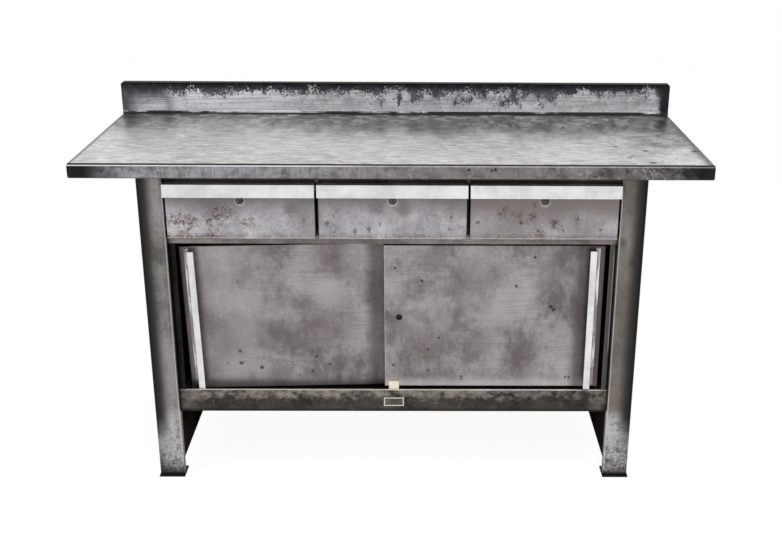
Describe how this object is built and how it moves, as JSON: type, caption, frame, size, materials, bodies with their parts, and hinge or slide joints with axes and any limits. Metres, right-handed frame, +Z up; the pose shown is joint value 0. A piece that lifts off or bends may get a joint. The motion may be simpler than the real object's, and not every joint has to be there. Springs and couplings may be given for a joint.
{
  "type": "workbench",
  "caption": "Steel workbench with a skirted worktop and backsplash, a row of drawers with full-width pulls, and a cupboard closed by sliding doors that pass each other.",
  "frame": {"origin": "on the floor, under the middle of the worktop", "axes": "+X along the bench to the right as seen from the front, +Y from the front to the back, +Z up"},
  "size_m": [1.524, 0.584, 0.949],
  "materials": {
    "worktop_steel": "stripped and worn bright, mottled",
    "splash_steel": "patchy, dark along the top",
    "frame_steel": "brushed, dark at the outer bends",
    "rail_steel": "brushed, dark and stained",
    "drawer_steel": "brushed, with rust stains",
    "door_steel": "brushed, mottled",
    "panel_steel": "dull, dark",
    "dark_steel": "dull, dark",
    "lock_steel": "dull turned steel",
    "bright_aluminium": "polished, lightly scuffed",
    "nameplate_aluminium": "bare plate, darkened",
    "cream_nylon": "aged nylon"
  },
  "bodies": {
    "bench": {"worktop": "worktop_steel", "backsplash": "splash_steel", "left_front_leg": "frame_steel", "left_rear_leg": "frame_steel", "right_front_leg": "frame_steel", "right_rear_leg": "frame_steel", "left_front_foot_plate": "dark_steel", "left_rear_foot_plate": "dark_steel", "right_front_foot_plate": "dark_steel", "right_rear_foot_plate": "dark_steel", "left_end_panel": "panel_steel", "right_end_panel": "panel_steel", "left_bearer": "dark_steel", "right_bearer": "dark_steel", "front_stiffener": "dark_steel", "rear_stiffener": "dark_steel", "top_rail": "dark_steel", "mid_rail": "rail_steel", "bottom_rail": "rail_steel", "left_stile": "rail_steel", "right_stile": "rail_steel", "back_panel": "panel_steel", "cabinet_floor": "panel_steel", "drawer_deck": "panel_steel", "left_divider": "panel_steel", "right_divider": "panel_steel", "nameplate": "nameplate_aluminium", "left_drawer_left_runner": "dark_steel", "left_drawer_right_runner": "dark_steel", "centre_drawer_left_runner": "dark_steel", "centre_drawer_right_runner": "dark_steel", "right_drawer_left_runner": "dark_steel", "right_drawer_right_runner": "dark_steel", "door_track": "dark_steel", "door_guide": "cream_nylon"},
    "left_drawer": {"left_drawer_tray": "panel_steel", "left_drawer_front": "drawer_steel", "left_drawer_pull": "bright_aluminium"},
    "left_lock": {"left_drawer_lock": "lock_steel"},
    "centre_drawer": {"centre_drawer_tray": "panel_steel", "centre_drawer_front": "drawer_steel", "centre_drawer_pull": "bright_aluminium"},
    "centre_lock": {"centre_drawer_lock": "lock_steel"},
    "right_drawer": {"right_drawer_tray": "panel_steel", "right_drawer_front": "drawer_steel", "right_drawer_pull": "bright_aluminium"},
    "right_lock": {"right_drawer_lock": "lock_steel"},
    "right_sliding_door": {"right_door": "door_steel", "right_door_pull": "bright_aluminium", "right_door_inner_hanger": "dark_steel", "right_door_outer_hanger": "dark_steel"},
    "right_inner_roller": {"right_door_inner_roller": "lock_steel"},
    "right_outer_roller": {"right_door_outer_roller": "lock_steel"},
    "left_sliding_door": {"left_door": "door_steel", "left_door_pull": "bright_aluminium", "left_door_inner_hanger": "dark_steel", "left_door_outer_hanger": "dark_steel"},
    "left_inner_roller": {"left_door_inner_roller": "lock_steel"},
    "left_outer_roller": {"left_door_outer_roller": "lock_steel"}
  },
  "joints": [
    {"name": "left_drawer_slide", "type": "slide", "parent": "bench", "child": "left_drawer", "axis": [0, -1, 0], "range_m": [0, 0.36]},
    {"name": "centre_drawer_slide", "type": "slide", "parent": "bench", "child": "centre_drawer", "axis": [0, -1, 0], "range_m": [0, 0.36]},
    {"name": "right_drawer_slide", "type": "slide", "parent": "bench", "child": "right_drawer", "axis": [0, -1, 0], "range_m": [0, 0.36]},
    {"name": "left_lock_turn", "type": "hinge", "parent": "left_drawer", "child": "left_lock", "pos_m": [-0.37, -0.239, 0.76], "axis": [0, -1, 0], "range_deg": [0, 90]},
    {"name": "centre_lock_turn", "type": "hinge", "parent": "centre_drawer", "child": "centre_lock", "pos_m": [0, -0.239, 0.76], "axis": [0, -1, 0], "range_deg": [0, 90]},
    {"name": "right_lock_turn", "type": "hinge", "parent": "right_drawer", "child": "right_lock", "pos_m": [0.37, -0.239, 0.76], "axis": [0, -1, 0], "range_deg": [0, 90]},
    {"name": "right_door_slide", "type": "slide", "parent": "bench", "child": "right_sliding_door", "axis": [1, 0, 0], "range_m": [-0.46, 0]},
    {"name": "left_door_slide", "type": "slide", "parent": "bench", "child": "left_sliding_door", "axis": [1, 0, 0], "range_m": [0, 0.46]},
    {"name": "right_inner_roller_spin", "type": "hinge", "parent": "right_sliding_door", "child": "right_inner_roller", "pos_m": [0.066, -0.19, 0.652], "axis": [0, 1, 0], "continuous": true},
    {"name": "right_outer_roller_spin", "type": "hinge", "parent": "right_sliding_door", "child": "right_outer_roller", "pos_m": [0.442, -0.19, 0.652], "axis": [0, 1, 0], "continuous": true},
    {"name": "left_inner_roller_spin", "type": "hinge", "parent": "left_sliding_door", "child": "left_inner_roller", "pos_m": [-0.066, -0.168, 0.652], "axis": [0, 1, 0], "continuous": true},
    {"name": "left_outer_roller_spin", "type": "hinge", "parent": "left_sliding_door", "child": "left_outer_roller", "pos_m": [-0.442, -0.168, 0.652], "axis": [0, 1, 0], "continuous": true}
  ],
  "couplings": [
    {"joint": "right_inner_roller_spin", "follows": "right_door_slide", "rad_per_m": 142.86},
    {"joint": "right_outer_roller_spin", "follows": "right_door_slide", "rad_per_m": 142.86},
    {"joint": "left_inner_roller_spin", "follows": "left_door_slide", "rad_per_m": 142.86},
    {"joint": "left_outer_roller_spin", "follows": "left_door_slide", "rad_per_m": 142.86}
  ]
}
